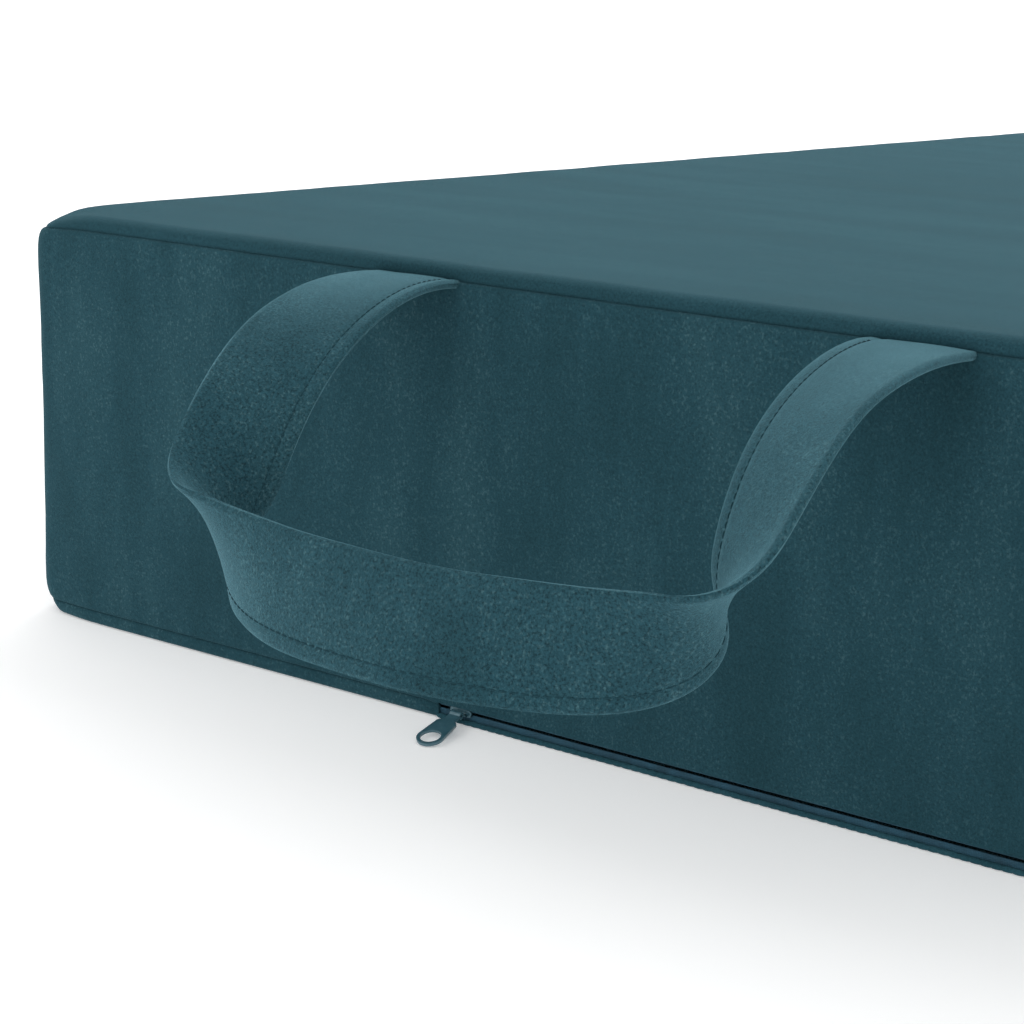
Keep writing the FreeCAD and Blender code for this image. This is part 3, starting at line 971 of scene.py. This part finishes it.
def slider_plate(name, front):
    """One plate of the slider: round at the joined end and narrower at the other."""
    low = (SLIDER_LOW.x, front, SLIDER_LOW.z)
    high = (SLIDER_HIGH.x, front + PLATE_THICK, SLIDER_HIGH.z)
    plate = bar(name, low, high)
    edit(plate)
    pick(plate, "verts", lambda v: v.co.x > SLIDER_X)
    bpy.ops.transform.resize(value=(1, 1, PLATE_TAPER), center_override=(SLIDER_X, front, ZIP_LEVEL))
    pick(plate, "edges", lambda edge: run_of(edge, 1) > 0.5 * PLATE_THICK)
    bpy.ops.mesh.bevel(offset=PLATE_CORNER, segments=6, affect="EDGES", clamp_overlap=False)
    leave()
    return plate


def pull_wire(across, out):
    """In edit mode, draw the end of the wire straight on."""
    bpy.ops.mesh.extrude_region_move(TRANSFORM_OT_translate={"value": (across, -out, 0)})


def bend_wire(x, y):
    """In edit mode, bend the end of the wire a quarter turn round an upright line."""
    bpy.ops.mesh.spin(steps=6, angle=-math.pi / 2, center=(x, y, ZIP_LEVEL), axis=(0, 0, -1))


def build_bridge():
    """The bent wire that holds the tab: out of the plate, across and back in."""
    out = PIVOT_OUT - WIRE_TURN
    left = SLIDER_X - PIVOT_HALF + PIVOT_RADIUS
    right = SLIDER_X + PIVOT_HALF - PIVOT_RADIUS
    bpy.ops.object.select_all(action="DESELECT")
    bpy.ops.mesh.primitive_circle_add(vertices=16, radius=PIVOT_RADIUS, fill_type="NGON",
                                      location=(left, FACE_Y + WIRE_ROOT, ZIP_LEVEL),
                                      rotation=(math.pi / 2, 0, 0))
    wire = named("bridge_wire")
    place_in_mesh(wire)
    edit(wire)
    bpy.ops.mesh.select_all(action="SELECT")
    pull_wire(0, out + WIRE_ROOT)
    bend_wire(left + WIRE_TURN, FACE_Y - out)
    pull_wire(right - left - 2 * WIRE_TURN, 0)
    bend_wire(right - WIRE_TURN, FACE_Y - out)
    pull_wire(0, -out - WIRE_ROOT)
    bpy.ops.mesh.select_all(action="SELECT")
    bpy.ops.mesh.remove_doubles(threshold=0.01 * MM)
    bpy.ops.mesh.normals_make_consistent(inside=False)
    leave()
    return wire


def build_slider():
    front = slider_plate("slider_front", FACE_Y)
    back = slider_plate("slider_back", SLIDER_HIGH.y - PLATE_THICK)
    low = (SLIDER_LOW.x + POST_START, FACE_Y + 0.5 * PLATE_THICK, ZIP_LEVEL - POST_THICK / 2)
    high = (SLIDER_LOW.x + POST_END, SLIDER_HIGH.y - 0.5 * PLATE_THICK, ZIP_LEVEL + POST_THICK / 2)
    post = bar("slider_post", low, high)
    for plate in (front, back):
        bevelled(plate, PAINT_EDGE, 50)
    wire = build_bridge()
    smooth(wire, 50)
    return join([front, back, post, wire], "slider_body")


def build_tab():
    """A flat plate with a round far end and hole; its near end is a barrel round the bridge wire."""
    end = TAB_WIDTH / 2 - TAB_LENGTH
    plate = rod("pull_tab", TAB_WIDTH / 2, TAB_THICK, (0, end, 0), sides=64)
    near = TAB_NECK / 2 + SHOULDER_FROM_EYE * EYE_RADIUS
    edit(plate)
    pick(plate, "verts", lambda v: v.co.y > end + 0.01 * MM)
    bpy.ops.transform.resize(value=(TAB_NECK / TAB_WIDTH, SHOULDER_SQUASH, 1), center_override=(0, end, 0))
    bpy.ops.transform.translate(value=(0, -near - end, 0))
    leave()
    reach = SHOULDER_REACH * near
    shoulder = bar("shoulder", (-EYE_HALF, -reach, -TAB_THICK / 2), (EYE_HALF, 0, TAB_THICK / 2))
    combine(plate, shoulder, "UNION")
    combine(plate, rod("barrel", EYE_RADIUS, 2 * EYE_HALF, (0, 0, 0), (0, math.pi / 2, 0)), "UNION")
    combine(plate, rod("hole", TAB_HOLE, 3 * TAB_THICK, (0, end, 0), sides=64), "DIFFERENCE")
    bore = rod("bore", PIVOT_RADIUS + EYE_PLAY, 3 * EYE_HALF, (0, 0, 0), (0, math.pi / 2, 0))
    combine(plate, bore, "DIFFERENCE")
    bevelled(plate, PAINT_EDGE)
    pivot = Matrix.Translation((SLIDER_X, FACE_Y - PIVOT_OUT, ZIP_LEVEL))
    plate.data.transform(pivot @ Matrix.Rotation(TAB_DROOP, 4, "X"))
    return plate


def build_coil(name, node):
    """One row of the chain: a loop of nylon, repeated along the tape, round a filler cord."""
    low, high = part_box(node)
    middle = (low + high) / 2
    half = (high.z - low.z) / 2
    bpy.ops.object.select_all(action="DESELECT")
    bpy.ops.mesh.primitive_torus_add(major_segments=14, minor_segments=6, major_radius=half - COIL_THREAD,
                                     minor_radius=COIL_THREAD, rotation=(0, math.pi / 2, 0),
                                     location=(low.x + 2 * COIL_THREAD, middle.y, middle.z))
    row = named(name)
    place_in_mesh(row)
    in_a_row(row, int((high.x - low.x - 4 * COIL_THREAD) / TOOTH_PITCH) + 1, TOOTH_PITCH)
    cord = rod("filler", FILLER_RADIUS, high.x - low.x, middle, (0, math.pi / 2, 0), sides=10)
    row = join([row, cord], name)
    smooth(row, 60)
    return row


def build_tape(name, node):
    """A strip of woven tape: many small cells, soft edges and a slight wave."""
    low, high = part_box(node)
    tape = bar(name, low, high)
    edit(tape)
    for axis, cell in TAPE_CELLS:
        cut_across(tape, axis, int((high[axis] - low[axis]) / cell), 1.5 * MM)
    leave()
    modify(tape, "BEVEL", width=0.2 * MM, segments=2, limit_method="ANGLE", angle_limit=math.radians(40))
    points = points_of(tape)
    points[:, 1] += TAPE_WAVE * ripple(points, 130, 6.1)
    set_points(tape, points)
    smooth(tape, 50)
    return tape


def build_puckers():
    """The folded edge under the zip, gathered by its stitches."""
    bpy.ops.object.select_all(action="DESELECT")
    first = (ZIP_LEFT + PUCKER_PITCH / 2, FACE_Y + 0.5 * MM, PUCKER_LEVEL)
    bpy.ops.mesh.primitive_uv_sphere_add(segments=16, ring_count=10, radius=1, location=first,
                                         scale=PUCKER_SIZE)
    roll = named("hem_puckers")
    place_in_mesh(roll)
    in_a_row(roll, int((ZIP_RIGHT - ZIP_LEFT) / PUCKER_PITCH), PUCKER_PITCH)
    points = points_of(roll)
    points[:, 1] += PUCKER_SWAY * ripple(points * np.array([1, 0, 0]), 90, 2.2)
    set_points(roll, points)
    smooth(roll, 60)
    return roll


finish_piece(build_slider(), "zip_slider", "zip_metal", PAINT, "zip_slider_body")
finish_piece(build_tab(), "pull_tab", "zip_metal", PAINT, "zip_pull_tab")
for row_name, row_node in (("coil_row_upper", "zip_coil_upper"), ("coil_row_lower", "zip_coil_lower")):
    finish_piece(build_coil(row_name, row_node), "root", "zip_coil", NYLON, row_node)
finish_piece(build_tape("tape_upper", "zip_tape_upper"), "root", "zip_tape", WEAVE_TAPE, "zip_tape_upper")
finish_piece(build_tape("tape_lower", "zip_tape_lower"), "root", "zip_tape", WEAVE_TAPE, "zip_tape_lower")
# the puckers wear the velvet copy that is painted lighter, as painted light in the shade under the hem
finish_piece(build_puckers(), "root", "velvet", VELVET_STRIP_LIT)

for node in ("zip_top_stops", "zip_bottom_stop"):
    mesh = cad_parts[node].data
    mesh.materials.clear()
    mesh.materials.append(PAINT)


# ---------------------------------------------------------------- the filling

FILLING_INSET = 6 * MM
LINER_INSET = 5.2 * MM
LINER_THICK = 0.4 * MM
SOFT_LAYER = 30 * MM
FILLING_CUTS = (19, 39, 5)
FOAM_EDGE = 8 * MM
NOSE_CUT = 18 * MM
SLOPE_NORMAL = Vector((0, TALL_HEIGHT - LOW_HEIGHT, 2 * HALF_LENGTH)).normalized()


def plain_wedge(name, inset):
    """A plain wedge inside the cover, with soft edges and its lowest corner cut off beside the zip."""
    half = BASE_HALF - inset
    obj = bar(name, (-half, inset - HALF_LENGTH, 0), (half, HALF_LENGTH - inset, 1))
    edit(obj)
    for axis, cuts in enumerate(FILLING_CUTS):
        cut_across(obj, axis, cuts, MM)
    leave()
    points = points_of(obj)
    height = inset + points[:, 2] * (slope_at(points[:, 1]) - 2 * inset)
    points[:, 0] *= 1 - FLARE * height / TALL_HEIGHT / half
    points[:, 2] = height
    set_points(obj, soft_corners(points))
    modify(obj, "BEVEL", width=FOAM_EDGE, segments=4, limit_method="ANGLE", angle_limit=math.radians(40))
    edit(obj)
    bpy.ops.mesh.select_all(action="SELECT")
    bpy.ops.mesh.bisect(plane_co=(0, FACE_Y + NOSE_CUT, 0), plane_no=(0, -1, -1), use_fill=True,
                        clear_outer=True)
    leave()
    return obj


def halved(obj, name, keep_above):
    """The part of a wedge above or below the joint of the two foams."""
    part = duplicate(obj, name)
    edit(part)
    bpy.ops.mesh.select_all(action="SELECT")
    joint = (0, 0, slope_at(0) - FILLING_INSET - SOFT_LAYER)
    bpy.ops.mesh.bisect(plane_co=joint, plane_no=SLOPE_NORMAL, use_fill=True, clear_inner=keep_above,
                        clear_outer=not keep_above)
    leave()
    smooth(part, 35)
    return part


stuffing = plain_wedge("stuffing", FILLING_INSET)
firm = halved(stuffing, "foam_core", keep_above=False)
soft = halved(stuffing, "foam_soft_layer", keep_above=True)
bpy.data.objects.remove(stuffing)
liner = plain_wedge("liner_bag", LINER_INSET)
modify(liner, "SOLIDIFY", thickness=LINER_THICK, offset=-1)
smooth(liner, 35)
finish_piece(firm, "root", "foam_firm", FIRM_FOAM, "foam_base_wedge")
finish_piece(soft, "root", "foam_soft", SOFT_FOAM, "foam_comfort_layer")
finish_piece(liner, "root", "liner_cloth", WEAVE_BAG, "inner_liner")


# ---------------------------------------------------------------- floor, light and camera

FLOOR_SIZE = 14

# Each lamp's name, place, turn in degrees, width and watts.
LAMPS = (
    ("over_light", (0.3, 1.4, 2.6), (-22, 0, 0), 3.0, 40),
    ("front_light", (-0.6, -3.2, 1.6), (65, 0, -12), 2.0, 10),
)


def build_studio():
    bpy.ops.object.select_all(action="DESELECT")
    bpy.ops.mesh.primitive_plane_add(size=FLOOR_SIZE, location=(0, 0, 0))
    floor = named("studio_floor")
    place_in_mesh(floor)
    floor.data.materials.append(floor_paint())

    world = bpy.data.worlds.new("studio_world")
    world.use_nodes = True
    sky = world.node_tree.nodes["Background"]
    sky.inputs["Color"].default_value = (1, 1, 1, 1)
    sky.inputs["Strength"].default_value = 1.0
    bpy.context.scene.world = world

    for name, place, turn, wide, power in LAMPS:
        lamp = bpy.data.lights.new(name, "AREA")
        lamp.size = wide
        lamp.energy = power
        holder = bpy.data.objects.new(name, lamp)
        holder.location = place
        holder.rotation_euler = [math.radians(angle) for angle in turn]
        bpy.context.collection.objects.link(holder)

    bpy.context.scene.view_settings.view_transform = "Standard"


def build_camera(place, yaw, pitch, roll, lens):
    data = bpy.data.cameras.new("view_camera")
    data.lens = lens
    camera = bpy.data.objects.new("view_camera", data)
    bpy.context.collection.objects.link(camera)
    aim = Matrix.Rotation(math.radians(yaw), 4, "Z") @ Matrix.Rotation(math.radians(90 - pitch), 4, "X")
    camera.matrix_world = Matrix.Translation(place) @ aim @ Matrix.Rotation(math.radians(roll), 4, "Z")
    bpy.context.scene.camera = camera


build_studio()
build_camera(place=(0.4853, -1.7344, 0.4469), yaw=34.41, pitch=18.22, roll=-0.56, lens=75.83)
